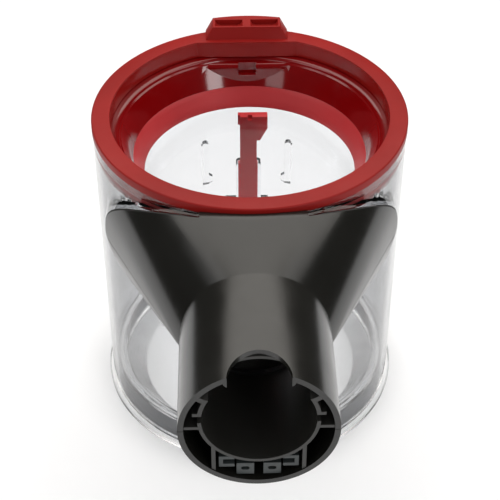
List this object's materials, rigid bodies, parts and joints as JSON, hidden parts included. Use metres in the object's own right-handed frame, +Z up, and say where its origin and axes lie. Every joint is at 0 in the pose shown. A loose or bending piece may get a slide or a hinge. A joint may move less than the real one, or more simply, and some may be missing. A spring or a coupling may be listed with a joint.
{
  "type": "vacuum cleaner dust bin",
  "caption": "Clear round dust bin with a red rim collar and funnel, a dark flared hose duct and a hinged base flap opened by a push rod.",
  "frame": {"origin": "centre of the base flap's underside, where the bin stands", "axes": "+Z up along the bin's axis to the collar, -Y out along the hose duct, +X to the right seen from the duct"},
  "size_m": [0.1432, 0.2308, 0.1586],
  "materials": {
    "clear_shell": "polished clear plastic, 2 mm wall",
    "satin_red": "satin moulded red plastic",
    "gloss_red": "glossy deep red plastic",
    "soft_red": "soft-touch red elastomer",
    "dark_grey": "fine satin dark grey plastic",
    "dark_grey_lower": "fine satin dark grey plastic",
    "dark_grey_guide": "satin dark grey plastic",
    "dark_grey_insert": "satin dark grey plastic",
    "contact_grey": "satin cool dark grey plastic",
    "contact_brass": "plated brass",
    "clear_guide": "clear plastic",
    "zinc_steel": "zinc-plated steel",
    "rod_red": "red plastic",
    "spring_steel": "spring steel wire",
    "latch_grey": "dark grey acetal",
    "pin_steel": "ground steel",
    "clear_flap": "polished clear plastic",
    "grey_rubber": "grey silicone rubber",
    "black_rubber": "black rubber"
  },
  "bodies": {
    "bin": {"bin_shell": "clear_shell", "rim_collar": "satin_red", "collar_seal": "soft_red", "filter_funnel": "gloss_red", "funnel_lip": "soft_red", "duct_upper_shell": "dark_grey", "duct_lower_shell": "dark_grey_lower", "duct_gasket": "black_rubber", "duct_screws": "zinc_steel", "inlet_guide": "dark_grey_guide", "socket_insert": "dark_grey_insert", "socket_seal": "black_rubber", "contact_holder": "contact_grey", "contact_pins": "contact_brass", "push_rod_guide": "clear_guide", "guide_screws": "zinc_steel", "latch_pin": "pin_steel", "flap_hinge_pin": "pin_steel"},
    "rod": {"push_rod": "rod_red", "push_rod_spring": "spring_steel"},
    "latch": {"flap_latch": "latch_grey"},
    "flap": {"base_flap": "clear_flap", "base_flap_seal": "grey_rubber"}
  },
  "joints": [
    {"name": "rod_press", "type": "slide", "parent": "bin", "child": "rod", "axis": [0, 0, -1], "range_m": [0, 0.002], "stiffness_N_per_m": 900, "springref_m": -0.003, "deforming": ["push_rod_spring"]},
    {"name": "latch_release", "type": "hinge", "parent": "bin", "child": "latch", "pos_m": [0, 0.076, 0.01], "axis": [1, 0, 0], "range_deg": [0, 30.2]},
    {"name": "flap_open", "type": "hinge", "parent": "bin", "child": "flap", "pos_m": [0, -0.0752, 0.0042], "axis": [-1, 0, 0], "range_deg": [0, 95]}
  ],
  "couplings": [
    {"joint": "latch_release", "follows": "rod_press", "rad_per_m": 261.8}
  ]
}
